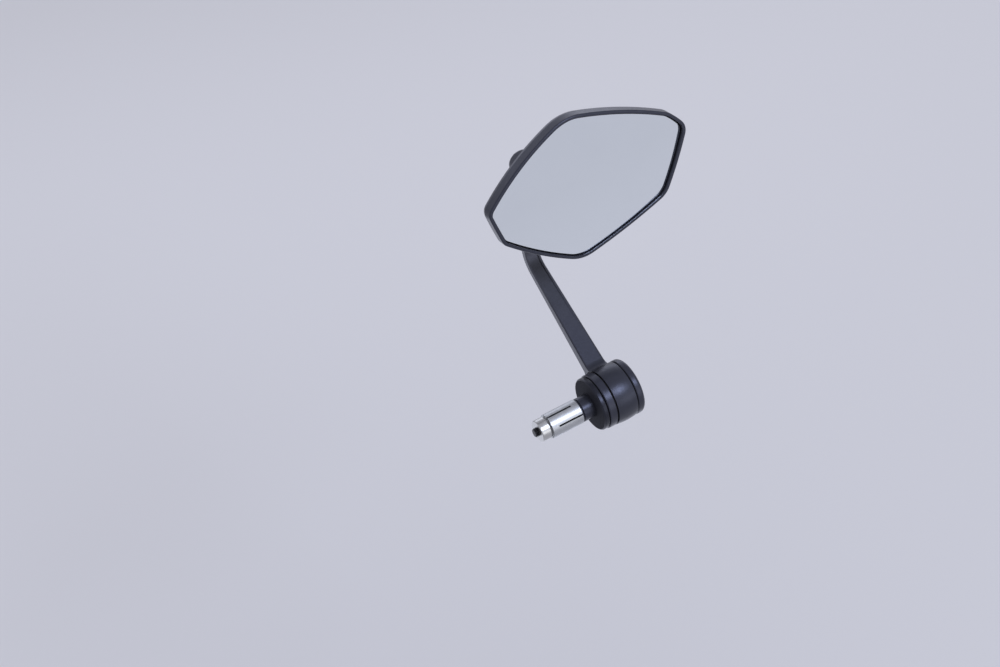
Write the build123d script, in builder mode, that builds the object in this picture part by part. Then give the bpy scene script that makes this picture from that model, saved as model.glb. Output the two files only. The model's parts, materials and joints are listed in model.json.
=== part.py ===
from build123d import *
import os
from math import asin, cos, degrees, hypot, radians, sin, sqrt

# Right-hand motorcycle bar end mirror: a turned mount that spreads inside an open bar end,
# a forged arm that swings round it, and a seven-cornered head on a spring-loaded ball joint.
# X runs outward along the bar, Y forward, Z up, in millimetres. The origin is the middle of
# the face that seats against the end of the bar.

os.makedirs("parts", exist_ok=True)

# Fits
running_gap = 0.1
press_gap = 0.03
edge_break = 0.5

# Mount in the bar: spacer, flange and journal, expander
flange_r = 18.5
flange_t = 5.3
spacer_inset = 0.6
spacer_t = 4.3
spacer_round = 1.4
journal_r = 11.0
spigot_r = 7.9
spigot_length = 8.0
cone_wide_r = 6.8
cone_narrow_r = 4.8
cone_length = 6.0
sleeve_r = 8.2
sleeve_length = 22.0
sleeve_clear = 1.5
slot_width = 1.2
slot_count = 3
slot_land = 4.5
slot_angle = 22.5
nut_r = 7.4
nut_length = 6.0

# Stack on the journal: two friction washers, arm collar, end cap, each a little under or over
# the flange's radius
washer_inset = 1.2
washer_t = 0.7
collar_proud = 0.1
collar_crown = 0.6
collar_length = 14.2
cap_proud = 0.2
cap_t = 6.0
cap_round = 2.2
cap_crown = 1.0
clamp_screw_r = 3.0
clamp_screw_clear = 0.2
clamp_head_r = 6.0
clamp_socket_flats = 4.0
clamp_socket_depth = 2.4
clamp_sink = 0.8
sink_angle = 90.0
clamp_screw_past_nut = 2.5

# Arm: a flat bar bent once, seen from the side, tapered in width and thickness, rounded along
# its outer edges, grooved beside one of them, and set a little towards its collar's inner end
bush_wall = 1.6
arm_lower_angle = 20.5
arm_lower_run = 104.3
arm_upper_angle = 82.8
arm_upper_run = 80.4
arm_bend_r = 18.0
blade_shift = 1.4
blade_root_t = 8.4
blade_tip_t = 5.2
blade_root_width = 14.6
blade_tip_width = 9.5
blade_chamfer = 0.8
blade_round = 1.6
groove_start = 40.0
groove_inset = 2.4
groove_width = 0.8
groove_depth = 0.9
root_fillet_r = 7.0
root_clear = 0.4
eye_r = 8.2
eye_t = 8.0
eye_round = 1.2

# Ball joint
ball_r = 7.0
neck_r = 3.25
neck_length = 10.0
stud_flange_r = 5.0
stud_flange_t = 1.2
shank_r = 3.9
stud_screw_r = 2.5
stud_screw_head_r = 4.75
stud_screw_head_t = 2.75
stud_screw_head_bow = 0.6
stud_socket_flats = 3.0
stud_socket_depth = 1.6
stud_washer_r = 5.0
stud_washer_t = 1.0
ball_cone_angle = 24.0
mouth_clear_angle = 2.0
seat_t = 1.9
seat_edge_angle = 73.0
seat_hole_angle = 14.0
cup_wall = 1.5
cup_lip = 2.0
spring_t = 0.8
spring_height = 1.5
spring_hole_r = 5.2
plate_t = 2.0
plate_screw_r = 1.5
plate_screw_head_r = 3.0
plate_screw_length = 7.0
plate_screw_circle_r = 17.0
plate_screw_count = 3
plate_screw_angle = 62.0
plate_lobe_r = 4.6
plate_recess_r = 1.0
plate_recess_depth = 0.9

# Head: the opening's corners as (across, up) from the ball axis, with each corner's radius
# and the bow of the side that follows it, clockwise from the inner end
head_tilt_angle = 22.5
opening_corners = [
    ((-41.5, -2.0), 5.0, 4.0),
    ((20.1, 36.6), 28.9, 2.7),
    ((87.8, 9.9), 13.7, 0.6),
    ((98.4, -3.1), 6.9, 0.9),
    ((76.9, -40.3), 12.9, 1.4),
    ((11.9, -57.1), 21.4, 1.9),
    ((-36.0, -24.0), 5.5, 0.2),
]
lip_width = 2.1
rim_face = 17.9
rim_depth = 6.6
rim_round = 0.9
back_depth = 7.4
back_share = 0.7
back_bands = 5
back_centre = (13.4, -5.0)
shell_wall = 2.2
ledge_width = 5.0
boss_wall = 2.4
boss_front = 6.6
boss_lip_r = 9.4
boss_nose_bow = 1.2
post_r = 3.6
glass_gap = 0.5
glass_t = 2.0
glass_bevel = 0.9
glass_sphere_r = 1200.0
glass_sink = 0.8
glass_centre = (28.4, -10.0)
pad_t = 0.6
adhesive_t = 0.1
pad_inset = 0.8

# Sizes and places along the bar that the stack works out to
spacer_r = flange_r - spacer_inset
washer_r = flange_r - washer_inset
collar_end_r = flange_r + collar_proud
collar_r = collar_end_r + collar_crown
cap_r = flange_r + cap_proud
flange_x = spacer_t
journal_x = flange_x + flange_t
collar_x = journal_x + washer_t + running_gap
outer_washer_x = collar_x + collar_length + running_gap
cap_x = outer_washer_x + washer_t
collar_middle_x = collar_x + collar_length / 2
arm_x = collar_middle_x - blade_shift
bush_r = journal_r + running_gap + bush_wall
screw_hole_r = clamp_screw_r + clamp_screw_clear
cone_end_x = -spigot_length - cone_length
sleeve_x = -spigot_length - sleeve_clear
sleeve_end_x = sleeve_x - sleeve_length
cone_slope = (cone_wide_r - cone_narrow_r) / cone_length
sleeve_mouth_r = cone_wide_r - cone_slope * sleeve_clear + running_gap
sleeve_bore_r = cone_narrow_r + running_gap
sleeve_taper = (sleeve_mouth_r - sleeve_bore_r) / cone_slope
nut_cone_x = sleeve_end_x - sleeve_clear
nut_end_x = nut_cone_x - nut_length

# Places along the arm, as (forward, up) in its own plane
rise = radians(arm_lower_angle)
upper_rise = radians(arm_upper_angle)
bend = (arm_lower_run * cos(rise), arm_lower_run * sin(rise))
eye = (bend[0] + arm_upper_run * cos(upper_rise), bend[1] + arm_upper_run * sin(upper_rise))
stud_axis = Vector(0, -sin(upper_rise), cos(upper_rise))
eye_centre = Vector(arm_x, *eye)
ball_centre = eye_centre + stud_axis * (eye_t / 2 + neck_length)
eye_step = (eye_t - blade_tip_t) / 2

# Working planes: the arm's side view, the stud's axis, the head's face and their sections
arm_side = Plane(origin=(arm_x, 0, 0), x_dir=(0, 1, 0), z_dir=(1, 0, 0))
eye_plane = Plane(origin=eye_centre, x_dir=(1, 0, 0), z_dir=stud_axis)
stud_plane = Plane(origin=ball_centre, x_dir=(1, 0, 0), z_dir=stud_axis)
stud_section = Plane(origin=ball_centre, x_dir=(1, 0, 0), z_dir=Vector(1, 0, 0).cross(stud_axis))
stud_line = Axis(ball_centre, stud_axis)
head_normal = Vector(0, -cos(radians(head_tilt_angle)), sin(radians(head_tilt_angle)))
head_plane = Plane(origin=ball_centre, x_dir=(1, 0, 0), z_dir=head_normal)
head_section = Plane(origin=ball_centre, x_dir=(1, 0, 0), z_dir=Vector(1, 0, 0).cross(head_normal))
head_line = Axis(ball_centre, head_normal)

# Places in the ball joint, measured from the ball towards the glass
seat_in_r = ball_r + running_gap
seat_out_r = seat_in_r + seat_t
socket_r = seat_out_r + running_gap
cup_r = socket_r + cup_wall
cup_back = socket_r + cup_wall
plate_z = cup_back + spring_height
plate_face = plate_z + plate_t
bore_r = cup_r + running_gap
boss_r = bore_r + boss_wall
mouth_angle = degrees(asin(neck_r / seat_in_r)) + ball_cone_angle + mouth_clear_angle
plate_head_t = plate_screw_head_r - plate_screw_r

# Places in the head
rim_back = rim_face - rim_depth
back_z = rim_back - back_depth
floor_z = back_z + shell_wall
glass_face = rim_face - glass_sink
glass_back_r = glass_sphere_r - glass_t
pad_front_r = glass_back_r - adhesive_t
pad_back_r = pad_front_r - pad_t
ledge_sphere_r = pad_back_r - adhesive_t
glass_sphere_place = Location(
    head_plane.from_local_coords(Vector(*glass_centre, glass_face - glass_sphere_r))
)


def polar(radius, angle, side):
    """Point of the ball joint's section at an angle from its axis, towards glass (1) or arm (-1)."""
    return (radius * sin(radians(angle)), side * radius * cos(radians(angle)))


def side_circle(start, end, bow):
    """Circle of a bowed side, from one corner to the next clockwise: its centre and radius."""
    chord = end - start
    radius = (chord.length**2 / 4 + bow**2) / (2 * bow)
    inward = Vector(chord.Y, -chord.X).normalized()
    return (start + end) / 2 + inward * (radius - bow), radius


def meeting_point(first, second, corner):
    """Point where two sides' circles cross, the one nearer to a corner."""
    across = second[0] - first[0]
    along = (across.length**2 + first[1] ** 2 - second[1] ** 2) / (2 * across.length)
    foot = first[0] + across.normalized() * along
    aside = Vector(-across.Y, across.X).normalized() * sqrt(first[1] ** 2 - along**2)
    return min((foot + aside, foot - aside), key=lambda point: (point - corner).length)


def head_outline(grow=0.0, share=1.0):
    """Head outline, shrunk to a share about the back's centre, with its sides moved outward."""
    centre = Vector(*back_centre)
    corners = [centre + (Vector(*place) - centre) * share for place, _, _ in opening_corners]
    sides = []
    for start, end, (_, _, bow) in zip(corners, corners[1:] + corners[:1], opening_corners):
        middle, radius = side_circle(start, end, bow * share)
        sides.append((middle, radius + grow))
    points = [
        meeting_point(sides[number - 1], sides[number], corner) for number, corner in enumerate(corners)
    ]
    with BuildSketch() as outline:
        with BuildLine():
            for start, end, (_, radius) in zip(points, points[1:] + points[:1], sides):
                RadiusArc(start, end, radius)
        make_face()
        for point, (_, corner_r, _) in zip(points, opening_corners):
            corner = outline.vertices().sort_by_distance(point)[0]
            fillet(corner, max(corner_r * share + grow, edge_break))
    return outline.sketch


def blade_edge(side):
    """Corners of one face of the blade in the arm's side view, inside the bend (1) or outside (-1)."""
    edge = []
    for (along, up), angle, thickness in (
        ((0, 0), rise, blade_root_t),
        (bend, (rise + upper_rise) / 2, blade_tip_t / cos(half_turn)),
        (eye, upper_rise, blade_tip_t),
    ):
        half = side * thickness / 2
        edge.append((along - half * sin(angle), up + half * cos(angle)))
    return edge


def seat_section(side, first_angle):
    """Section of a half seat between the ball and its socket."""
    middle = (first_angle + seat_edge_angle) / 2
    with BuildSketch() as section:
        with BuildLine():
            for radius in (seat_in_r, seat_out_r):
                ThreePointArc(
                    polar(radius, first_angle, side),
                    polar(radius, middle, side),
                    polar(radius, seat_edge_angle, side),
                )
            for angle in (first_angle, seat_edge_angle):
                Line(polar(seat_in_r, angle, side), polar(seat_out_r, angle, side))
        make_face()
    return section.sketch


# Spacer: soft ring between the bar end and the flange, rounded on its outside
with BuildPart() as spacer_washer:
    with BuildSketch(Plane.YZ):
        Circle(spacer_r)
        Circle(spigot_r + running_gap, mode=Mode.SUBTRACT)
    extrude(amount=spacer_t)
    fillet(spacer_washer.edges().filter_by(GeomType.CIRCLE).sort_by(SortBy.RADIUS)[-2:], spacer_round)
spacer_washer.part.label = "spacer_washer"

# Base ring: flange, journal for the arm, and the spigot whose cone spreads the sleeve
with BuildPart() as base_ring:
    with BuildSketch(Plane.XY):
        with BuildLine():
            Polyline(
                (cone_end_x, screw_hole_r),
                (cone_end_x, cone_narrow_r),
                (-spigot_length, cone_wide_r),
                (-spigot_length, spigot_r),
                (flange_x, spigot_r),
                (flange_x, flange_r - edge_break),
                (flange_x + edge_break, flange_r),
                (journal_x - edge_break, flange_r),
                (journal_x, flange_r - edge_break),
                (journal_x, journal_r),
                (cap_x, journal_r),
                (cap_x, screw_hole_r),
                close=True,
            )
        make_face()
    revolve(axis=Axis.X)
base_ring.part.label = "base_ring"

# Friction washers on the two sides of the collar, the same ring twice
friction_washers = {}
for washer_name, washer_x in (
    ("inner_friction_washer", journal_x),
    ("outer_friction_washer", outer_washer_x),
):
    with BuildPart() as friction_washer:
        with BuildSketch(Plane.YZ.offset(washer_x)):
            Circle(washer_r)
            Circle(journal_r + running_gap, mode=Mode.SUBTRACT)
        extrude(amount=washer_t)
    friction_washer.part.label = washer_name
    friction_washers[washer_name] = friction_washer.part

# End cap: turned disc with a rounded shoulder and a slightly crowned end, countersunk for
# the clamp screw
cap_end_x = cap_x + cap_t
clamp_head_x = cap_end_x - clamp_sink
with BuildPart() as end_cap:
    with BuildSketch(Plane.XY):
        with BuildLine():
            flat_end = (cap_end_x - cap_crown, cap_r - cap_round)
            side_end = (cap_end_x - cap_crown - cap_round, cap_r)
            Polyline(
                (cap_end_x, 0),
                (cap_x, 0),
                (cap_x, cap_r - edge_break),
                (cap_x + edge_break, cap_r),
                side_end,
            )
            RadiusArc(side_end, flat_end, cap_round)
            crown_r = ((cap_r - cap_round) ** 2 + cap_crown**2) / (2 * cap_crown)
            RadiusArc(flat_end, (cap_end_x, 0), crown_r)
        make_face()
    revolve(axis=Axis.X)
    with Locations(Plane.YZ.offset(clamp_head_x)):
        CounterSinkHole(screw_hole_r, clamp_head_r + running_gap, counter_sink_angle=sink_angle)
end_cap.part.label = "end_cap"

# Clamp screw: countersunk, with a hexagon socket, drawn through to the cone nut
clamp_head_t = clamp_head_r - clamp_screw_r
clamp_tip_x = nut_end_x - clamp_screw_past_nut
with BuildPart() as clamp_screw:
    with BuildSketch(Plane.XY):
        with BuildLine():
            Polyline(
                (clamp_tip_x, 0),
                (clamp_tip_x, clamp_screw_r - edge_break),
                (clamp_tip_x + edge_break, clamp_screw_r),
                (clamp_head_x - clamp_head_t, clamp_screw_r),
                (clamp_head_x, clamp_head_r),
                (clamp_head_x, 0),
                close=True,
            )
        make_face()
    revolve(axis=Axis.X)
    with BuildSketch(Plane.YZ.offset(clamp_head_x)):
        RegularPolygon(clamp_socket_flats / 2, 6, major_radius=False)
    extrude(amount=-clamp_socket_depth, mode=Mode.SUBTRACT)
clamp_screw.part.label = "clamp_screw"

# Expander sleeve: coned at both ends and slotted from each end in turn, so that it opens evenly
with BuildPart() as expander_sleeve:
    with BuildSketch(Plane.XY):
        with BuildLine():
            Polyline(
                (sleeve_x, sleeve_mouth_r),
                (sleeve_x, sleeve_r),
                (sleeve_end_x, sleeve_r),
                (sleeve_end_x, sleeve_mouth_r),
                (sleeve_end_x + sleeve_taper, sleeve_bore_r),
                (sleeve_x - sleeve_taper, sleeve_bore_r),
                close=True,
            )
        make_face()
    revolve(axis=Axis.X)
    for slot_start, slot_turn in (
        (sleeve_x, slot_angle),
        (sleeve_x - slot_land, slot_angle + 180 / slot_count),
    ):
        with BuildSketch(Plane.YZ.offset(slot_start)):
            with PolarLocations(sleeve_r, slot_count, start_angle=slot_turn):
                Rectangle(sleeve_r, slot_width)
        extrude(amount=slot_land - sleeve_length, mode=Mode.SUBTRACT)
expander_sleeve.part.label = "expander_sleeve"

# Cone nut: closes the sleeve's far end and takes the screw's thread
with BuildPart() as cone_nut:
    with BuildSketch(Plane.XY):
        with BuildLine():
            Polyline(
                (nut_end_x, clamp_screw_r + press_gap),
                (nut_end_x, nut_r - edge_break),
                (nut_end_x + edge_break, nut_r),
                (nut_cone_x, nut_r),
                (nut_cone_x, cone_wide_r),
                (nut_cone_x + cone_length, cone_narrow_r),
                (nut_cone_x + cone_length, clamp_screw_r + press_gap),
                close=True,
            )
        make_face()
    revolve(axis=Axis.X)
cone_nut.part.label = "cone_nut"

# Arm groove: what is cut from the blade's upper face beside its outer edge, deepest from the bend
# to the eye and running out to nothing towards the collar
half_turn = (upper_rise - rise) / 2
with BuildPart() as arm_groove:
    with BuildSketch(arm_side) as groove_view:
        root_point, bend_point, eye_point = (Vector(*point) for point in blade_edge(1))
        fade_point = root_point + (bend_point - root_point) * (groove_start / arm_lower_run)
        lower_up = Vector(-sin(rise), cos(rise))
        upper_up = Vector(-sin(upper_rise), cos(upper_rise))
        bend_up = (lower_up + upper_up).normalized() / cos(half_turn)
        Polygon(
            fade_point + lower_up * running_gap,
            bend_point - bend_up * groove_depth,
            eye_point - upper_up * groove_depth,
            eye_point + upper_up * groove_depth,
            bend_point + bend_up * groove_depth,
            fade_point + lower_up * groove_depth,
            align=None,
        )
        for level in (-groove_depth, groove_depth):
            corner = groove_view.vertices().sort_by_distance(bend_point + bend_up * level)[0]
            fillet(corner, arm_bend_r - blade_tip_t / 2 - level)
    extrude(amount=blade_root_width, both=True)
    with BuildSketch(Plane.XY):
        with Locations((arm_x - groove_inset, 0)):
            Polygon(
                ((blade_root_width - groove_width) / 2, 0),
                ((blade_root_width + groove_width) / 2, 0),
                ((blade_tip_width + groove_width) / 2, eye[0] + eye_r),
                ((blade_tip_width - groove_width) / 2, eye[0] + eye_r),
                align=None,
            )
    extrude(amount=eye[1] + eye_r, both=True, mode=Mode.INTERSECT)

# Mirror arm: the blade is the arm's side view cut to its plan, joined to the barrel collar and
# the round eye, all one forging, and cut clear of the flange beside the collar
with BuildPart() as mirror_arm:
    with BuildSketch(arm_side) as side_view:
        inner_edge, outer_edge = blade_edge(1), blade_edge(-1)
        Polygon(*inner_edge, *reversed(outer_edge), align=None)
        for edge_points, bend_r in (
            (inner_edge, arm_bend_r - blade_tip_t / 2),
            (outer_edge, arm_bend_r + blade_tip_t / 2),
        ):
            fillet(side_view.vertices().sort_by_distance(edge_points[1])[0], bend_r)
        Circle(collar_end_r)
        root_corners = [
            corner
            for corner in side_view.vertices()
            if corner.X > 0 and abs(hypot(corner.X, corner.Y) - collar_end_r) < press_gap
        ]
        fillet(root_corners, root_fillet_r)
    extrude(amount=blade_root_width, both=True)
    with BuildSketch(Plane.XY):
        with Locations((arm_x, 0)):
            Polygon(
                (-blade_root_width / 2, 0),
                (blade_root_width / 2, 0),
                (blade_tip_width / 2, eye[0] + eye_r),
                (-blade_tip_width / 2, eye[0] + eye_r),
                align=None,
            )
    extrude(amount=eye[1] + eye_r, both=True, mode=Mode.INTERSECT)
    for outer_side in (True, False):
        long_edges = [
            edge
            for edge in mirror_arm.edges()
            if edge.length > blade_root_width
            and edge.center().Y > press_gap
            and (edge.center().X > arm_x) == outer_side
        ]
        if outer_side:
            fillet(long_edges, blade_round)
        else:
            chamfer(long_edges, blade_chamfer)
    add(arm_groove.part, mode=Mode.SUBTRACT)
    with BuildSketch(eye_plane.offset(-eye_t / 2)):
        Circle(eye_r)
    extrude(amount=eye_t)
    with BuildSketch(Plane.YZ):
        Circle(flange_r + root_clear)
    extrude(amount=collar_x, mode=Mode.SUBTRACT)
    with BuildSketch(Plane.XY):
        with BuildLine():
            collar_end_x = collar_x + collar_length
            Polyline(
                (collar_end_x, collar_end_r), (collar_end_x, 0), (collar_x, 0), (collar_x, collar_end_r)
            )
            ThreePointArc(
                (collar_x, collar_end_r), (collar_middle_x, collar_r), (collar_end_x, collar_end_r)
            )
        make_face()
    revolve(axis=Axis.X)
    eye_rims = [
        rim
        for rim in mirror_arm.edges().filter_by(GeomType.CIRCLE)
        if abs(abs(eye_plane.to_local_coords(rim.center()).Z) - eye_t / 2) < press_gap
    ]
    fillet(eye_rims, min(eye_round, eye_step - press_gap))
    with BuildSketch(Plane.YZ.offset(collar_x)):
        Circle(bush_r)
    extrude(amount=collar_length, mode=Mode.SUBTRACT)
    with BuildSketch(eye_plane.offset(-eye_t / 2)):
        Circle(shank_r + press_gap)
    extrude(amount=eye_t, mode=Mode.SUBTRACT)
mirror_arm.part.label = "mirror_arm"

# Bush pressed into the collar, running on the journal
with BuildPart() as arm_bush:
    with BuildSketch(Plane.YZ.offset(collar_x)):
        Circle(bush_r - press_gap)
        Circle(journal_r + running_gap, mode=Mode.SUBTRACT)
    extrude(amount=collar_length)
arm_bush.part.label = "arm_bush"

# Ball stud: ball, neck, flange on the eye's face and a shank tapped for its screw
flange_low = -neck_length
shank_low = flange_low - eye_t + edge_break
with BuildPart() as ball_stud:
    with BuildSketch(stud_section):
        with BuildLine():
            neck_top = (neck_r, -sqrt(ball_r**2 - neck_r**2))
            Polyline(
                (0, ball_r),
                (0, shank_low),
                (shank_r, shank_low),
                (shank_r, flange_low),
                (stud_flange_r, flange_low),
                (stud_flange_r, flange_low + stud_flange_t),
                (neck_r, flange_low + stud_flange_t),
                neck_top,
            )
            ThreePointArc(neck_top, (ball_r, 0), (0, ball_r))
        make_face()
    revolve(axis=stud_line)
    with BuildSketch(stud_plane.offset(shank_low)):
        Circle(stud_screw_r + press_gap)
    extrude(amount=eye_t, mode=Mode.SUBTRACT)
ball_stud.part.label = "ball_stud"

# Washer and button head screw on the eye's far side
washer_low = flange_low - eye_t - stud_washer_t
with BuildPart() as stud_washer:
    with BuildSketch(stud_plane.offset(washer_low)):
        Circle(stud_washer_r)
        Circle(stud_screw_r + running_gap, mode=Mode.SUBTRACT)
    extrude(amount=stud_washer_t)
stud_washer.part.label = "stud_washer"

screw_top = shank_low + eye_t - 2 * edge_break
head_low = washer_low - stud_screw_head_t
with BuildPart() as stud_screw:
    with BuildSketch(stud_section):
        with BuildLine():
            head_rim = (stud_screw_head_r, washer_low)
            head_flat = (stud_socket_flats, head_low)
            Polyline(
                head_flat,
                (0, head_low),
                (0, screw_top),
                (stud_screw_r, screw_top),
                (stud_screw_r, washer_low),
                head_rim,
            )
            SagittaArc(head_rim, head_flat, stud_screw_head_bow)
        make_face()
    revolve(axis=stud_line)
    with BuildSketch(stud_plane.offset(head_low)):
        RegularPolygon(stud_socket_flats / 2, 6, major_radius=False)
    extrude(amount=stud_socket_depth, mode=Mode.SUBTRACT)
stud_screw.part.label = "stud_screw"

# The two half seats of the ball joint
with BuildPart() as pressure_seat:
    with BuildSketch(head_section):
        add(seat_section(1, seat_hole_angle))
    revolve(axis=head_line)
pressure_seat.part.label = "pressure_seat"

with BuildPart() as mouth_seat:
    with BuildSketch(head_section):
        add(seat_section(-1, mouth_angle))
    revolve(axis=head_line)
mouth_seat.part.label = "mouth_seat"

# Pressure cup behind the glass-side seat, free to slide in the socket's bore
with BuildPart() as pressure_cup:
    with BuildSketch(head_plane.offset(cup_lip)):
        Circle(cup_r)
    extrude(amount=cup_back - cup_lip)
    with Locations(Location(ball_centre)):
        Sphere(socket_r, mode=Mode.SUBTRACT)
pressure_cup.part.label = "pressure_cup"

# Disc spring: a shallow cone between the cup and the plate
spring_cone = spring_height - spring_t
with BuildPart() as disc_spring:
    with BuildSketch(head_section):
        with BuildLine():
            Polyline(
                (spring_hole_r, cup_back),
                (cup_r, cup_back + spring_cone),
                (cup_r, cup_back + spring_height),
                (spring_hole_r, cup_back + spring_t),
                close=True,
            )
        make_face()
    revolve(axis=head_line)
disc_spring.part.label = "disc_spring"

# Clamp plate: three lobes for its screws round the socket
with BuildPart() as clamp_plate:
    with BuildSketch(head_plane.offset(plate_z)):
        Circle(boss_r)
        with PolarLocations(plate_screw_circle_r, plate_screw_count, start_angle=plate_screw_angle):
            Circle(plate_lobe_r)
        make_hull()
    extrude(amount=plate_t)
    with Locations(head_plane.offset(plate_face)):
        with PolarLocations(plate_screw_circle_r, plate_screw_count, start_angle=plate_screw_angle):
            CounterSinkHole(
                plate_screw_r + running_gap,
                plate_screw_head_r + running_gap,
                counter_sink_angle=sink_angle,
            )
clamp_plate.part.label = "clamp_plate"

# Three countersunk screws that hold the plate
with BuildPart() as plate_screws:
    with Locations(head_plane.offset(plate_face)):
        with PolarLocations(plate_screw_circle_r, plate_screw_count, start_angle=plate_screw_angle):
            Cylinder(
                plate_screw_r,
                plate_screw_length,
                align=(Align.CENTER, Align.CENTER, Align.MAX),
            )
            Cone(
                plate_screw_r,
                plate_screw_head_r,
                plate_head_t,
                align=(Align.CENTER, Align.CENTER, Align.MAX),
            )
            Cylinder(
                plate_recess_r,
                plate_recess_depth,
                align=(Align.CENTER, Align.CENTER, Align.MAX),
                mode=Mode.SUBTRACT,
            )
plate_screws.part.label = "plate_screws"

# Room for the glass: everything in front of the curved ledge, inside the lip
with BuildPart() as glass_recess:
    with BuildSketch(head_plane.offset(rim_back)):
        add(head_outline())
    extrude(amount=2 * rim_depth)
    with Locations(glass_sphere_place):
        Sphere(ledge_sphere_r, mode=Mode.SUBTRACT)

# Head shell: rim band, domed back and socket boss, hollow behind a ledge for the glass
with BuildPart() as head_shell:
    with BuildSketch(head_plane.offset(rim_back)):
        add(head_outline(lip_width))
    extrude(amount=rim_depth)
    front_edges = head_shell.faces().sort_by(head_line)[-1].edges()
    fillet(front_edges, rim_round)
    for section in range(back_bands + 1):
        turn = radians(90 * section / back_bands)
        section_share = back_share + (1 - back_share) * cos(turn)
        with BuildSketch(head_plane.offset(rim_back - back_depth * sin(turn))):
            add(head_outline(lip_width * section_share, section_share))
    loft(ruled=True)
    with BuildSketch(head_plane.offset(floor_z)):
        add(head_outline(-ledge_width * back_share, back_share))
    with BuildSketch(head_plane.offset(rim_back - shell_wall / 2)):
        add(head_outline(-ledge_width))
    loft(mode=Mode.SUBTRACT)
    with BuildSketch(head_plane.offset(rim_back - shell_wall / 2)):
        add(head_outline(-ledge_width))
    extrude(amount=rim_depth + shell_wall, mode=Mode.SUBTRACT)
    with BuildSketch(head_section):
        with BuildLine():
            lip_edge = (boss_lip_r, -boss_front)
            Polyline(lip_edge, (0, -boss_front), (0, plate_z), (boss_r, plate_z), (boss_r, 0))
            SagittaArc((boss_r, 0), lip_edge, boss_nose_bow)
        make_face()
    revolve(axis=head_line)
    with BuildSketch(head_plane.offset(floor_z - shell_wall / 2)):
        with PolarLocations(plate_screw_circle_r, plate_screw_count, start_angle=plate_screw_angle):
            Circle(post_r)
    extrude(amount=plate_z - floor_z + shell_wall / 2)
    with BuildSketch(head_plane.offset(plate_z)):
        with PolarLocations(plate_screw_circle_r, plate_screw_count, start_angle=plate_screw_angle):
            Circle(plate_screw_r + press_gap)
    extrude(amount=plate_t - plate_screw_length, mode=Mode.SUBTRACT)
    with BuildSketch(head_plane):
        Circle(bore_r)
    extrude(amount=plate_z, mode=Mode.SUBTRACT)
    with Locations(Location(ball_centre)):
        Sphere(socket_r, mode=Mode.SUBTRACT)
    with BuildSketch(head_section):
        Polygon((0, 0), polar(2 * boss_r, mouth_angle, -1), polar(2 * boss_r, 0, -1), align=None)
    revolve(axis=head_line, mode=Mode.SUBTRACT)
    add(glass_recess.part, mode=Mode.SUBTRACT)
head_shell.part.label = "head_shell"

# Foam ring that bonds the glass to the ledge
with BuildPart() as glass_pad:
    with BuildSketch(head_plane.offset(rim_back)):
        add(head_outline(-glass_gap - pad_inset))
        add(head_outline(-ledge_width), mode=Mode.SUBTRACT)
    extrude(amount=rim_depth)
    with Locations(glass_sphere_place):
        Sphere(pad_front_r, mode=Mode.INTERSECT)
        Sphere(pad_back_r, mode=Mode.SUBTRACT)
glass_pad.part.label = "glass_pad"

# Mirror glass: slightly convex, of even thickness, with a ground bevel round its front
with BuildPart() as mirror_glass:
    with BuildSketch(head_plane.offset(rim_back)):
        add(head_outline(-glass_gap))
    extrude(amount=rim_depth)
    with Locations(glass_sphere_place):
        Sphere(glass_sphere_r, mode=Mode.INTERSECT)
        Sphere(glass_back_r, mode=Mode.SUBTRACT)
    chamfer(mirror_glass.faces().sort_by(head_line)[-1].edges(), glass_bevel)
mirror_glass.part.label = "mirror_glass"

export_list = [
    spacer_washer.part,
    base_ring.part,
    *friction_washers.values(),
    end_cap.part,
    clamp_screw.part,
    expander_sleeve.part,
    cone_nut.part,
    mirror_arm.part,
    arm_bush.part,
    ball_stud.part,
    stud_washer.part,
    stud_screw.part,
    pressure_seat.part,
    mouth_seat.part,
    pressure_cup.part,
    disc_spring.part,
    clamp_plate.part,
    plate_screws.part,
    head_shell.part,
    glass_pad.part,
    mirror_glass.part,
]
for piece in export_list:
    export_step(piece, f"parts/{piece.label}.step")
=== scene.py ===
import json
import math

import bmesh
import bpy
from mathutils import Matrix, Vector
from mathutils.geometry import convex_hull_2d


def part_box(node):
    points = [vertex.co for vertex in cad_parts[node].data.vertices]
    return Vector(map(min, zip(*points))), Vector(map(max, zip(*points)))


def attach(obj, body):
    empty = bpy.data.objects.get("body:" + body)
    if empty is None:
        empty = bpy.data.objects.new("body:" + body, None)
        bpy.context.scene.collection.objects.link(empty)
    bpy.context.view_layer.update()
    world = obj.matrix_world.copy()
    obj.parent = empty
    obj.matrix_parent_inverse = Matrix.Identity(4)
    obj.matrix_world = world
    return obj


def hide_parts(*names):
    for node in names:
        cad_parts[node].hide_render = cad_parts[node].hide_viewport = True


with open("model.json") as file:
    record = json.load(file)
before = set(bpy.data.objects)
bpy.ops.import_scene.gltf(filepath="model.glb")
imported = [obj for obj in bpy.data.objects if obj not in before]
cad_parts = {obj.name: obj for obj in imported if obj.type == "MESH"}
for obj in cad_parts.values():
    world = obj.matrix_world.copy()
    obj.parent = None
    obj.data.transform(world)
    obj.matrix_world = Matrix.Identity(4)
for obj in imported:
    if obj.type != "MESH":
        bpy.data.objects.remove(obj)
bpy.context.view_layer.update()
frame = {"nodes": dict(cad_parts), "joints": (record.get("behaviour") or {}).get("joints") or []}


# Cone nut and expander sleeve: the plug that holds inside the tube. Both are turned from rod, the
# nut from steel that is then zinc plated, the sleeve from bare aluminium sawn in from both ends.
MM = 0.001
ALUMINIUM_DULL = (0.40, 0.41, 0.42)
ALUMINIUM_BRIGHT = (0.52, 0.53, 0.54)
ZINC_DULL = (0.44, 0.44, 0.43)
ZINC_BRIGHT = (0.56, 0.56, 0.55)
nodes = frame["nodes"]


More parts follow.
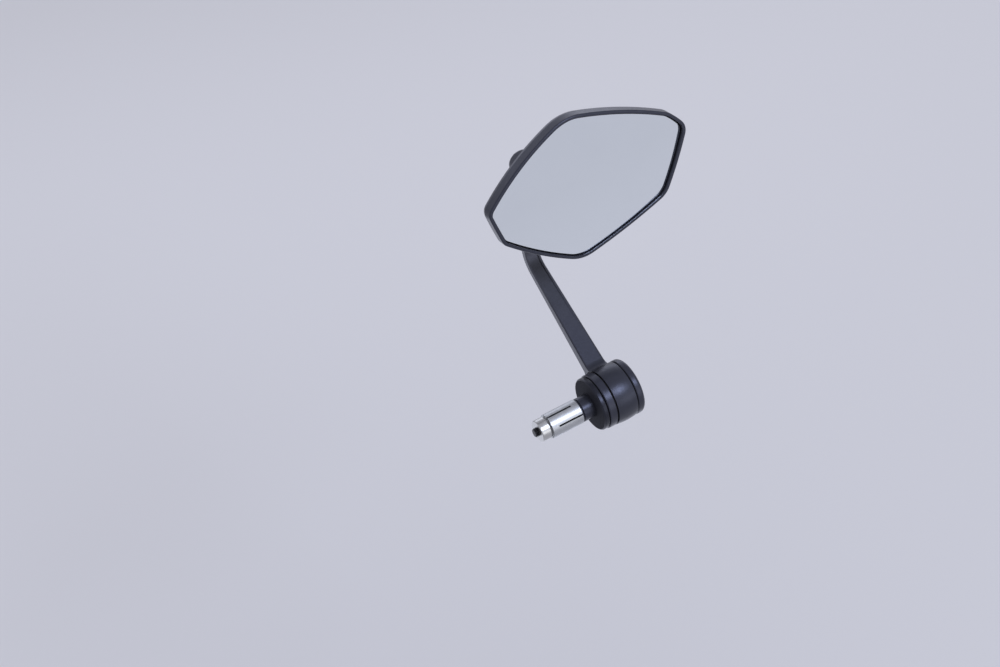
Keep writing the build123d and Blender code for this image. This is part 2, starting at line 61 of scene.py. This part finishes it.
class Wire:
    """A value in a material's node tree. Arithmetic on it adds Math nodes."""

    def __init__(self, tree, socket):
        self.tree = tree
        self.socket = socket

    def node(self, kind, inputs=(), output=0, stops=None, **settings):
        """Adds a node, with its settings first and then its sockets' values or links."""
        added = self.tree.nodes.new(kind)
        for name, value in settings.items():
            setattr(added, name, value)
        for number, (position, colour) in enumerate(stops or ()):
            ramp = added.color_ramp.elements
            stop = ramp[number] if number < len(ramp) else ramp.new(position)
            stop.position = position
            stop.color = (*colour, 1)
        for key, value in dict(inputs).items():
            if isinstance(value, Wire):
                self.tree.links.new(value.socket, added.inputs[key])
            else:
                added.inputs[key].default_value = value
        return Wire(self.tree, added.outputs[output])

    def maths(self, operation, *values):
        """Adds a Math node on values that are all given, this one too where it is used."""
        return self.node("ShaderNodeMath", enumerate(values), operation=operation)

    def __add__(self, other):
        return self.maths("ADD", self, other)

    def __sub__(self, other):
        return self.maths("SUBTRACT", self, other)

    def __rsub__(self, other):
        return self.maths("SUBTRACT", other, self)

    def __mul__(self, other):
        return self.maths("MULTIPLY", self, other)

    def __truediv__(self, other):
        return self.maths("DIVIDE", self, other)

    def __gt__(self, other):
        return self.maths("GREATER_THAN", self, other)

    __radd__ = __add__
    __rmul__ = __mul__


def start_finish(name, constants):
    """A material with its shader's constant values set, and the place on its piece in metres."""
    material = bpy.data.materials.new(name)
    material.use_nodes = True
    shader = material.node_tree.nodes["Principled BSDF"]
    for socket, value in constants.items():
        shader.inputs[socket].default_value = value
    coordinates = material.node_tree.nodes.new("ShaderNodeTexCoord")
    return material, Wire(material.node_tree, coordinates.outputs["Object"])


def feed(material, socket, wire):
    """Leads a varying value to one of the shader's sockets."""
    shader = material.node_tree.nodes["Principled BSDF"]
    material.node_tree.links.new(wire.socket, shader.inputs[socket])


def speckle(place, size, detail=2.0):
    """Noise with spots of about a given size, from 0 to 1 and mostly near a half."""
    return place.node("ShaderNodeTexNoise", {"Vector": place, "Scale": 1 / size, "Detail": detail})


def vector_maths(operation, first, second, output="Vector"):
    """Sum, product or measure of two vectors."""
    return first.node("ShaderNodeVectorMath", {0: first, 1: second}, output, operation=operation)


def length_of(vector):
    """Length of a vector."""
    return vector.node("ShaderNodeVectorMath", {0: vector}, "Value", operation="LENGTH")


def lathe_rings(place, pitch, axis=Vector((1, 0, 0)), centre=Vector((0, 0, 0))):
    """Uneven fine rings round an axis, as a lathe tool leaves them, from 0 to 1."""
    out = vector_maths("SUBTRACT", place, centre)
    along = vector_maths("DOT_PRODUCT", out, axis, "Value")
    radius = length_of(vector_maths("CROSS_PRODUCT", out, axis))
    return speckle(place.node("ShaderNodeCombineXYZ", {0: along, 1: radius}), pitch, 3.0)


def blend(amount, low, high):
    """Colour between two others."""
    ends = {0: amount, 6: (*low, 1), 7: (*high, 1)}
    return amount.node("ShaderNodeMix", ends, 2, data_type="RGBA")


def relief(height, depth):
    """Normal of a surface whose height varies by a depth."""
    return height.node("ShaderNodeBump", {"Height": height, "Distance": depth, "Strength": 1.0}, "Normal")


def dress(material, *names):
    """Gives CAD pieces their finish."""
    for name in names:
        nodes[name].data.materials.clear()
        nodes[name].data.materials.append(material)


def bare_metal(name, dull, bright, roughness, marks):
    """Uncoated metal with a slightly cloudy colour and the marks that its making left."""
    metal, place = start_finish(name, {"Metallic": 1.0})
    cloud = speckle(place, 4.0 * MM, 4.0)
    feed(metal, "Base Color", blend(cloud, dull, bright))
    feed(metal, "Roughness", roughness + 0.18 * (cloud - 0.5))
    feed(metal, "Normal", relief(marks(place), 0.012 * MM))
    return metal


def fine_turning(place):
    """Marks of a fine cut on the lathe."""
    return lathe_rings(place, 0.3 * MM)


dress(bare_metal("turned_aluminium", ALUMINIUM_DULL, ALUMINIUM_BRIGHT, 0.42, fine_turning), "expander_sleeve")
dress(bare_metal("plated_turning", ZINC_DULL, ZINC_BRIGHT, 0.30, fine_turning), "cone_nut")

# Spacer washer: a moulded black rubber ring that takes up the gap between the tube's end and the
# flange. It is only squeezed in place. Its rim is moulded smooth, with a sheen like the flange's.
RUBBER_BLACK = (0.004, 0.004, 0.005)
RUBBER_BLOOM = (0.010, 0.010, 0.012)
RUBBER_SHINE = (0.72, 0.76, 1.0, 1.0)
RIM_RADIUS = 17.0 * MM
RIM_SMOOTHING = 0.5


def swing_radius(place):
    """Distance from the axis that the arm swings about."""
    return length_of(vector_maths("MULTIPLY", place, Vector((0, 1, 1))))


rubber, place = start_finish("moulded_rubber", {"IOR": 1.45, "Specular Tint": RUBBER_SHINE})
feed(rubber, "Base Color", blend(speckle(place, 3.0 * MM, 4.0), RUBBER_BLACK, RUBBER_BLOOM))
smoothed = RIM_SMOOTHING * (swing_radius(place) > RIM_RADIUS)
feed(rubber, "Roughness", 0.72 + 0.2 * speckle(place, 1.2 * MM) - smoothed)
feed(rubber, "Normal", relief(speckle(place, 0.3 * MM), 0.03 * MM))
dress(rubber, "spacer_washer")

# Base ring and end cap: turned from aluminium and sprayed with a satin black coat, through which
# the tool's rings still show faintly. The coat has a fine grain and takes a cold, bluish shine.
COAT_BLACK = (0.013, 0.0135, 0.018)
COAT_GREY = (0.023, 0.0235, 0.030)
COAT_SHINE = (0.72, 0.76, 1.0, 1.0)


def mottle(place):
    """Cloudy share of grey in an even coat."""
    return speckle(place, 6.0 * MM, 5.0)


def satin_coat(name, grain, surface, shade=mottle, grey=COAT_GREY):
    """Satin black coat whose grain has a given size, over the marks on what lies under it."""
    coat, place = start_finish(name, {"IOR": 1.5, "Specular Tint": COAT_SHINE})
    feed(coat, "Base Color", blend(shade(place), COAT_BLACK, grey))
    feed(coat, "Roughness", 0.27 + 0.12 * speckle(place, 2.0 * MM, 4.0))
    feed(coat, "Normal", relief(speckle(place, grain, 3.0) + surface(place), 0.10 * grain))
    return coat


dress(satin_coat("coat_on_turning", 0.25 * MM, lambda place: lathe_rings(place, 0.6 * MM)),
      "base_ring", "end_cap")

# Friction washers: stamped from fibre sheet soaked in resin, dull and nearly black, one on each
# side of the arm's collar. They are only clamped.
FIBRE_DARK = (0.006, 0.006, 0.007)
FIBRE_FLECK = (0.022, 0.020, 0.018)
fibre, place = start_finish("friction_fibre", {"IOR": 1.4})
feed(fibre, "Base Color", blend(speckle(place, 0.5 * MM, 4.0), FIBRE_DARK, FIBRE_FLECK))
feed(fibre, "Roughness", 0.75 + 0.2 * speckle(place, 0.8 * MM))
feed(fibre, "Normal", relief(speckle(place, 0.2 * MM), 0.03 * MM))
dress(fibre, "inner_friction_washer", "outer_friction_washer")

# Mirror arm: one forging of collar, blade and eye, blasted, turned smooth on the collar and sprayed
# with the same coat, whose grey is painted lighter up the blade: painted light that brightens the
# bend under the head. A bronze bush is pressed into it.
COLLAR_RADIUS = 19.2 * MM
BLADE_REACH = 90.0 * MM
# Painted light: the coat is coloured a lighter grey up the blade, to stand in for light on the bend.
PAINTED_LIGHT_GREY = (0.070, 0.071, 0.080)
MOST_PAINTED_LIGHT = 0.8
BRONZE_DULL = (0.42, 0.28, 0.14)
BRONZE_BRIGHT = (0.55, 0.39, 0.21)


def painted_light_and_mottle(place):
    """Share of grey in the coat: painted light that grows from the collar up the blade, over a random mottle.
    """
    share = place.maths("MAXIMUM", (swing_radius(place) - COLLAR_RADIUS) / BLADE_REACH, 0.0)
    return share.maths("MINIMUM", share * share, MOST_PAINTED_LIGHT) + 0.2 * mottle(place)


dress(satin_coat("coat_on_forging", 0.4 * MM, lambda place: speckle(place, 1.6 * MM), painted_light_and_mottle, PAINTED_LIGHT_GREY),
      "mirror_arm")
dress(bare_metal("bush_bronze", BRONZE_DULL, BRONZE_BRIGHT, 0.36, lambda place: lathe_rings(place, 0.2 * MM)),
      "arm_bush")

# Clamp screw: a countersunk socket screw of blackened steel that holds the whole stack. Its thread
# comes through the nut, so that end is cut from the plain shank and made as a rolled thread.
THREAD_ROOT = 2.45 * MM
THREAD_CREST = 2.97 * MM
THREAD_PITCH = 1.0 * MM
THREAD_LENGTH = 3.0 * MM
THREAD_SIDES = 64
THREAD_ROWS = 72
FLANK_SLOPE = 3.0
ROOT_FLAT = 0.25
WELD = 0.002 * MM
SHARP_ANGLE = math.radians(30)
OXIDE_DARK = (0.030, 0.030, 0.032)
OXIDE_LIGHT = (0.050, 0.050, 0.054)
blackened = bare_metal(
    "blackened_steel", OXIDE_DARK, OXIDE_LIGHT, 0.42, lambda place: speckle(place, 0.4 * MM)
)


def thread_tree(material):
    """Geometry nodes that roll a grid into a threaded rod, from its place along -X."""
    tree = bpy.data.node_groups.new("rolled_thread", "GeometryNodeTree")
    sizes = {"Root": THREAD_ROOT, "Crest": THREAD_CREST, "Pitch": THREAD_PITCH, "Length": THREAD_LENGTH}
    for size, value in sizes.items():
        tree.interface.new_socket(size, in_out="INPUT", socket_type="NodeSocketFloat").default_value = value
    tree.interface.new_socket("Geometry", in_out="OUTPUT", socket_type="NodeSocketGeometry")
    group = tree.nodes.new("NodeGroupInput")
    root, crest, pitch, length = (Wire(tree, group.outputs[size]) for size in sizes)
    counts = {"Vertices X": THREAD_ROWS, "Vertices Y": THREAD_SIDES + 1}
    grid = root.node("GeometryNodeMeshGrid", counts)
    parts = root.node("ShaderNodeSeparateXYZ", {0: root.node("GeometryNodeInputPosition")})
    share = parts + 0.5
    turn = Wire(tree, parts.socket.node.outputs["Y"]) + 0.5
    along = share * length
    turns = along / pitch + turn
    middle = turns.maths("FRACT", turns) - 0.5
    slope = middle.maths("ABSOLUTE", middle) * FLANK_SLOPE - ROOT_FLAT
    flank = slope.node("ShaderNodeClamp", {0: slope})
    ridge = root + (crest - root) * flank
    radius = ridge.maths("MINIMUM", ridge, root + length - along)
    angle = turn * math.tau
    spot = {0: 0.0 - along, 1: radius * angle.maths("COSINE", angle), 2: radius * angle.maths("SINE", angle)}
    rolled = grid.node("GeometryNodeSetPosition", {
        "Geometry": grid, "Position": root.node("ShaderNodeCombineXYZ", spot)
    })
    disc = root.node("GeometryNodeMeshCircle", {"Vertices": THREAD_SIDES, "Radius": root}, fill_type="NGON")
    end = root.node("GeometryNodeTransform", {
        "Geometry": disc, "Rotation": (0, -math.pi / 2, 0),
        "Translation": root.node("ShaderNodeCombineXYZ", {0: 0.0 - length}),
    })
    joined = tree.nodes.new("GeometryNodeJoinGeometry")
    for piece in (end, rolled):
        tree.links.new(piece.socket, joined.inputs[0])
    closed = root.node("GeometryNodeMergeByDistance", {
        "Geometry": Wire(tree, joined.outputs[0]), "Distance": WELD
    })
    real = root.node("GeometryNodeRealizeInstances", {0: closed})
    dressed = root.node("GeometryNodeSetMaterial", {"Geometry": real, "Material": material})
    tree.links.new(dressed.socket, tree.nodes.new("NodeGroupOutput").inputs[0])
    return tree


def evaluated_mesh(name, tree):
    """Plain mesh that a tree of geometry nodes makes."""
    holder = bpy.data.objects.new(name, bpy.data.meshes.new(name))
    bpy.context.scene.collection.objects.link(holder)
    holder.modifiers.new("nodes", "NODES").node_group = tree
    seen = holder.evaluated_get(bpy.context.evaluated_depsgraph_get())
    mesh = bpy.data.meshes.new_from_object(seen)
    bpy.data.objects.remove(holder)
    return mesh


def add_piece(name, mesh, body, node, slot, *materials):
    """Puts a finished mesh in a CAD node's stead, with smooth faces and sharp edges."""
    for material in materials:
        mesh.materials.append(material)
    mesh.shade_smooth()
    mesh.set_sharp_from_angle(angle=SHARP_ANGLE)
    piece = bpy.data.objects.new(name, mesh)
    bpy.context.scene.collection.objects.link(piece)
    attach(piece, body)
    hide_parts(node)


screw_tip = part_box("clamp_screw")[0][0]
thread_mesh = evaluated_mesh("thread", thread_tree(blackened))
thread_mesh.transform(Matrix.Translation((screw_tip + THREAD_LENGTH, 0, 0)))
form = bmesh.new()
form.from_mesh(nodes["clamp_screw"].data)
bmesh.ops.remove_doubles(form, verts=form.verts, dist=WELD)
whole = form.verts[:] + form.edges[:] + form.faces[:]
cut = bmesh.ops.bisect_plane(
    form, geom=whole, plane_co=(screw_tip + THREAD_LENGTH, 0, 0), plane_no=(1, 0, 0), clear_inner=True
)
bmesh.ops.holes_fill(form, edges=[part for part in cut["geom_cut"] if isinstance(part, bmesh.types.BMEdge)])
form.from_mesh(thread_mesh)
bmesh.ops.holes_fill(form, edges=[side for side in form.edges if side.is_boundary])
bmesh.ops.recalc_face_normals(form, faces=form.faces)
screw_mesh = bpy.data.meshes.new("threaded_screw")
form.to_mesh(screw_mesh)
form.free()
add_piece("threaded_screw", screw_mesh, "mount", "clamp_screw", "dark_steel", blackened)

# Ball stud, its screw and washer: the stud is turned, hardened and polished on its ball, and is
# held in the arm's eye by a blackened screw over a plated washer.
STEEL_DULL = (0.52, 0.52, 0.53)
STEEL_BRIGHT = (0.60, 0.60, 0.61)
PLATE_DULL = (0.45, 0.45, 0.45)
PLATE_BRIGHT = (0.56, 0.57, 0.57)
dress(bare_metal("polished_stud", STEEL_DULL, STEEL_BRIGHT, 0.20, lambda place: speckle(place, 0.3 * MM)),
      "ball_stud")
dress(blackened, "stud_screw")
plated = bare_metal("plated_pressing", PLATE_DULL, PLATE_BRIGHT, 0.33, lambda place: speckle(place, 0.7 * MM))
dress(plated, "stud_washer")

# Half seats: moulded from off-white acetal, one on each side of the ball, with the faint sink and
# flow marks of moulding.
ACETAL_DULL = (0.62, 0.61, 0.57)
ACETAL_BRIGHT = (0.70, 0.69, 0.65)
seat, place = start_finish("moulded_seat", {"IOR": 1.48})
feed(seat, "Base Color", blend(speckle(place, 5.0 * MM), ACETAL_DULL, ACETAL_BRIGHT))
feed(seat, "Roughness", 0.38 + 0.12 * speckle(place, 2.0 * MM))
feed(seat, "Normal", relief(speckle(place, 2.5 * MM), 0.03 * MM))
dress(seat, "pressure_seat", "mouth_seat")

# Head shell: die-cast, tumbled and sprayed with the satin coat. Its rim stands round the glass and
# its boss holds the ball.
dress(satin_coat("coat_on_casting", 0.4 * MM, lambda place: speckle(place, 1.2 * MM)), "head_shell")

# Pressure cup, disc spring, clamp plate and its three screws: pressed and plated steel inside the
# shell, which push the seats against the ball.
dress(plated, "pressure_cup", "disc_spring", "clamp_plate", "plate_screws")

# Glass pad: a ring cut from black closed-cell foam. It has adhesive on both faces and holds the
# glass on the shell's ledge.
FOAM_DARK = (0.012, 0.012, 0.013)
FOAM_LIGHT = (0.030, 0.030, 0.032)
FOAM_CELL = 0.35 * MM
foam, place = start_finish("pad_foam", {"IOR": 1.4})
cells = place.node("ShaderNodeTexVoronoi", {"Vector": place, "Scale": 1 / FOAM_CELL}, "Distance")
feed(foam, "Base Color", blend(cells, FOAM_DARK, FOAM_LIGHT))
feed(foam, "Roughness", 0.8 + 0.15 * cells)
feed(foam, "Normal", relief(cells, 0.08 * MM))
dress(foam, "glass_pad")

# Mirror glass: a bent sheet of float glass, silvered, cut to the head's outline, with a bevel round
# its face. The bevel, the edge and the back are sealed with a black lacquer.
GLASS_THICKNESS = 2.0 * MM
GLASS_CURVE = 1200.0 * MM
GLASS_FACE = 17.1 * MM
GLASS_MIDDLE = Vector((28.4, -10.0)) * MM
BEVEL_WIDTH = 0.4 * MM
BEVEL_DROP = 0.3 * MM
EDGE_STEP = 2.5 * MM
SHORTEST_SIDE = 0.05 * MM
GLASS_RINGS = 12
SILVER_DULL = (0.815, 0.855, 0.890)
SILVER_BRIGHT = (0.835, 0.875, 0.910)
LACQUER_DARK = (0.008, 0.008, 0.010)
LACQUER_LIGHT = (0.014, 0.014, 0.017)
head_roll = next(row for row in frame["joints"] if row["name"] == "head_roll")
ball_centre = Vector(head_roll["pos_m"])
head_normal = Vector(head_roll["axis"]).normalized()
head_across = Vector((1, 0, 0))
head_up = head_normal.cross(head_across)


def in_head(point):
    """Place of a point across, up and out of the head's face, from the ball."""
    out = point - ball_centre
    return Vector((out.dot(head_across), out.dot(head_up), out.dot(head_normal)))


def on_glass(spot, sink):
    """Point of the glass at a place across and up, a given depth under its bent face."""
    curve = GLASS_CURVE - sink
    height = GLASS_FACE - GLASS_CURVE + math.sqrt(curve**2 - (spot - GLASS_MIDDLE).length_squared)
    return ball_centre + head_across * spot.x + head_up * spot.y + head_normal * height


def sides_of(outline):
    """Ends of each side of a closed outline."""
    return list(zip(outline, outline[1:] + outline[:1]))


def moved_in(outline, distance):
    """Outline, anticlockwise, with its sides moved inward."""
    moved = []
    for before, (here, after) in zip(outline[-1:] + outline[:-1], sides_of(outline)):
        first = (here - before).normalized()
        second = (after - here).normalized()
        inward = Vector((-first.y - second.y, first.x + second.x)).normalized()
        moved.append(here + inward * (distance / inward.dot(Vector((-first.y, first.x)))))
    return moved


spots = [in_head(vertex.co).to_2d() for vertex in nodes["mirror_glass"].data.vertices]
edge = [spots[number] for number in convex_hull_2d(spots)]
if sum(here.cross(after) for here, after in sides_of(edge)) < 0:
    edge.reverse()
edge = [here for here, after in sides_of(edge) if (after - here).length > SHORTEST_SIDE]
sides = [(here, after, math.ceil((after - here).length / EDGE_STEP)) for here, after in sides_of(edge)]
edge = [here.lerp(after, step / steps) for here, after, steps in sides for step in range(steps)]
face_edge = moved_in(edge, BEVEL_WIDTH)


def glass_loop(outline, share, sink):
    """Loop of points on the glass, an outline drawn in towards the middle by a share."""
    return [on_glass(GLASS_MIDDLE + (spot - GLASS_MIDDLE) * share, sink) for spot in outline]


SILVERED, SEALED = range(2)
shares = [number / GLASS_RINGS for number in range(1, GLASS_RINGS + 1)]
loops = [(glass_loop(face_edge, share, 0.0), SILVERED) for share in shares]
loops.append((glass_loop(edge, 1.0, BEVEL_DROP), SEALED))
loops.append((glass_loop(edge, 1.0, GLASS_THICKNESS), SEALED))
loops += [(glass_loop(edge, share, GLASS_THICKNESS), SEALED) for share in reversed(shares[:-1])]
form = bmesh.new()
rows = [([form.verts.new(point) for point in points], layer) for points, layer in loops]
for (inner, _), (outer, layer) in zip(rows, rows[1:]):
    for number in range(len(edge)):
        corners = (inner[number - 1], outer[number - 1], outer[number], inner[number])
        form.faces.new(corners).material_index = layer
for row, sink, layer in ((rows[0][0], 0.0, SILVERED), (rows[-1][0][::-1], GLASS_THICKNESS, SEALED)):
    middle = form.verts.new(on_glass(GLASS_MIDDLE, sink))
    for number in range(len(edge)):
        form.faces.new((middle, row[number - 1], row[number])).material_index = layer
bmesh.ops.recalc_face_normals(form, faces=form.faces)
glass_mesh = bpy.data.meshes.new("bent_glass")
form.to_mesh(glass_mesh)
form.free()

silver, place = start_finish("silvered_glass", {"Metallic": 1.0})
feed(silver, "Base Color", blend(speckle(place, 25.0 * MM), SILVER_DULL, SILVER_BRIGHT))
feed(silver, "Roughness", 0.02 * speckle(place, 9.0 * MM, 3.0))
lacquer, place = start_finish("edge_lacquer", {"IOR": 1.5})
feed(lacquer, "Base Color", blend(speckle(place, 0.8 * MM), LACQUER_DARK, LACQUER_LIGHT))
feed(lacquer, "Roughness", 0.4 + 0.2 * speckle(place, 0.6 * MM))
add_piece("bent_glass", glass_mesh, "head", "mirror_glass", "mirror_glass", silver, lacquer)

# Studio: a wide pale floor well below the part, a pale surround and four soft boxes: one above like
# the sky, one behind, one in front and one below.
PAPER_NEAR = (0.65, 0.645, 0.652)
PAPER_MIDDLE = (0.985, 0.985, 0.985)
PAPER_FAR = (0.95, 0.95, 0.95)
PAPER_STOPS = ((0.0, PAPER_NEAR), (0.4, PAPER_MIDDLE), (0.8, PAPER_FAR))
PAPER_SPREAD = 8.0
SURROUND = (0.60, 0.607, 0.685)
FLOOR_HEIGHT = -0.8
FLOOR_SPAN = 80.0
LAMP_AIM = Vector((0.03, 0.05, 0.07))
SKY_BLUE = (0.75, 0.82, 1.0)
COOL_BLUE = (0.82, 0.86, 1.0)
COOL_WHITE = (0.94, 0.96, 1.0)
bpy.ops.mesh.primitive_plane_add(size=FLOOR_SPAN, location=(0, 0, FLOOR_HEIGHT))
floor = bpy.context.object
floor.name = "floor"
paper, place = start_finish("paper", {"Roughness": 0.9})
reach = length_of(place) / PAPER_SPREAD
feed(paper, "Base Color", reach.node("ShaderNodeValToRGB", {0: reach}, stops=PAPER_STOPS))
floor.data.materials.append(paper)

world = bpy.data.worlds.new("surround")
world.use_nodes = True
world.node_tree.nodes["Background"].inputs["Color"].default_value = (*SURROUND, 1)
bpy.context.scene.world = world


def soft_box(name, direction, distance, size, glow, colour):
    """Lamp that shines on the part from a direction, as bright as a given white glow."""
    lamp = bpy.data.lights.new(name, "AREA")
    lamp.shape = "RECTANGLE"
    lamp.size, lamp.size_y = size
    lamp.energy = glow * math.pi * size[0] * size[1]
    lamp.color = colour
    holder = bpy.data.objects.new(name, lamp)
    toward = Vector(direction).normalized()
    holder.location = LAMP_AIM + toward * distance
    holder.rotation_euler = toward.to_track_quat("Z", "Y").to_euler()
    holder.visible_camera = False
    bpy.context.scene.collection.objects.link(holder)


soft_box("sky_box", (0.216, -0.527, 0.82), 1.1, (0.36, 0.36), 16.0, SKY_BLUE)
soft_box("rear_box", (0.4, -0.88, 0.24), 1.2, (0.9, 0.5), 1.3, COOL_WHITE)
soft_box("front_box", (0.25, 0.965, 0.0), 1.3, (1.8, 0.5), 1.25, COOL_BLUE)
soft_box("low_box", (-0.1, 0.2, -0.97), 0.7, (0.9, 0.9), 0.5, COOL_BLUE)

# Camera: a long lens above and behind the part, looking down on the glass, with the part a little
# to the right of the middle of the picture.
LENS = 70.0
SENSOR_WIDTH = 36.0
CAMERA_AZIMUTH = math.radians(-31.5)
CAMERA_ELEVATION = math.radians(53.0)
CAMERA_DISTANCE = 1.230
AIM_ACROSS = -0.05676
AIM_UP = 0.04525
across = Vector((math.cos(CAMERA_AZIMUTH), math.sin(CAMERA_AZIMUTH), 0))
toward = Vector((
    math.sin(CAMERA_AZIMUTH) * math.cos(CAMERA_ELEVATION),
    -math.cos(CAMERA_AZIMUTH) * math.cos(CAMERA_ELEVATION),
    math.sin(CAMERA_ELEVATION),
))
upward = toward.cross(across)
camera = bpy.data.objects.new("camera", bpy.data.cameras.new("camera"))
camera.data.lens = LENS
camera.data.sensor_width = SENSOR_WIDTH
turned = Matrix((across, upward, toward)).transposed().to_4x4()
camera.matrix_world = Matrix.Translation(
    across * AIM_ACROSS + upward * AIM_UP + toward * CAMERA_DISTANCE
) @ turned
bpy.context.scene.collection.objects.link(camera)
bpy.context.scene.camera = camera
bpy.context.scene.view_settings.view_transform = "Standard"
